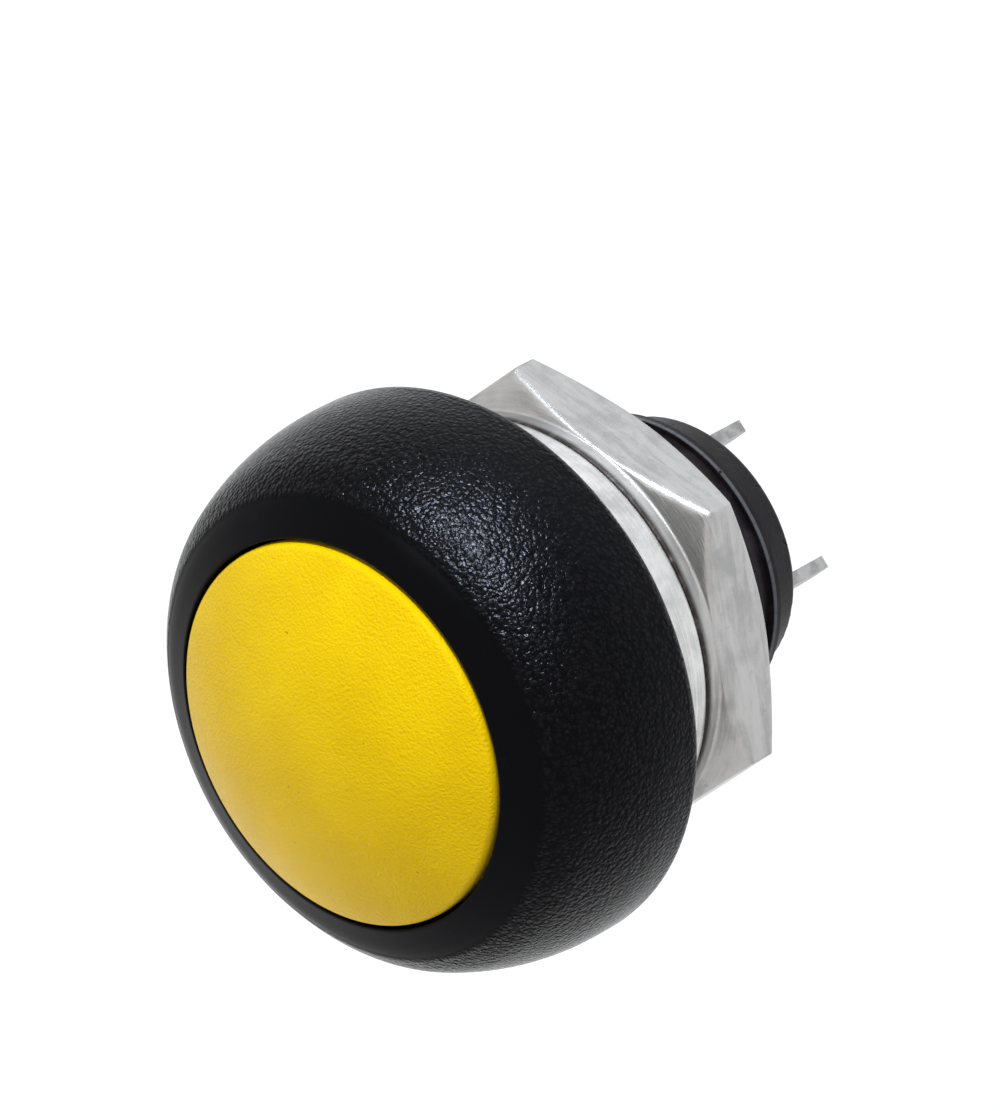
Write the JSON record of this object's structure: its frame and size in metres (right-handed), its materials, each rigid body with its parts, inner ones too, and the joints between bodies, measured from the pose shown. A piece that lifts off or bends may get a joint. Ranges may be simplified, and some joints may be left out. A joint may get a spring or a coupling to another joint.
{
  "type": "panel push button switch",
  "caption": "Sealed momentary push button for a 12 mm panel hole: domed cap in a round bezel, threaded bushing with gasket, washer and hexagon nut, two flat terminals.",
  "frame": {"origin": "centre of the bezel's flat seat, on the switch's axis, where the gasket is pressed on the panel", "axes": "+Z along the axis out of the panel, towards the finger; the two terminals are in line along X"},
  "size_m": [0.018, 0.018, 0.0224],
  "materials": {
    "housing_plastic": "fine leather grain, smooth land round the cap",
    "base_plastic": "smooth, dusty",
    "cap_plastic": "fine leather grain with a soft sheen",
    "plunger_plastic": "natural acetal",
    "seal_rubber": "smooth",
    "gasket_rubber": "die-cut edge",
    "spring_steel": "drawn wire",
    "contact_brass": "stamped",
    "contact_silver": "bright",
    "terminal_tin": "dull tin plate",
    "resin": "cast",
    "washer_nickel": "turned, nickel plated",
    "nut_nickel": "worn nickel plate with drawn streaks and dirt"
  },
  "bodies": {
    "body": {"housing": "housing_plastic", "terminal_base": "base_plastic", "potting": "resin", "terminal_left": "terminal_tin", "terminal_right": "terminal_tin", "fixed_contact_left": "contact_silver", "fixed_contact_right": "contact_silver", "panel_gasket": "gasket_rubber", "return_spring": "spring_steel"},
    "button": {"button_cap": "cap_plastic", "plunger": "plunger_plastic", "stem_seal": "seal_rubber", "contact_spring": "spring_steel"},
    "bridge": {"contact_bridge": "contact_brass", "bridge_contact_left": "contact_silver", "bridge_contact_right": "contact_silver"},
    "clamp_washer": {"washer": "washer_nickel"},
    "nut": {"hex_nut": "nut_nickel"}
  },
  "joints": [
    {"name": "button_press", "type": "slide", "parent": "body", "child": "button", "axis": [0, 0, -1], "range_m": [0, 0.0015], "stiffness_N_per_m": 600, "springref_m": -0.002, "deforming": ["return_spring"]},
    {"name": "contact_travel", "type": "slide", "parent": "body", "child": "bridge", "axis": [0, 0, -1], "range_m": [0, 0.0011], "deforming": ["contact_spring"]},
    {"name": "washer_travel", "type": "slide", "parent": "body", "child": "clamp_washer", "axis": [0, 0, -1], "range_m": [0, 0.0025]},
    {"name": "nut_turn", "type": "hinge", "parent": "clamp_washer", "child": "nut", "pos_m": [0, 0, -0.0043], "axis": [0, 0, -1], "range_deg": [0, 900.1]}
  ],
  "couplings": [
    {"joint": "contact_travel", "follows": "button_press", "ratio": 0.7333},
    {"joint": "nut_turn", "follows": "washer_travel", "rad_per_m": 6283.2}
  ]
}
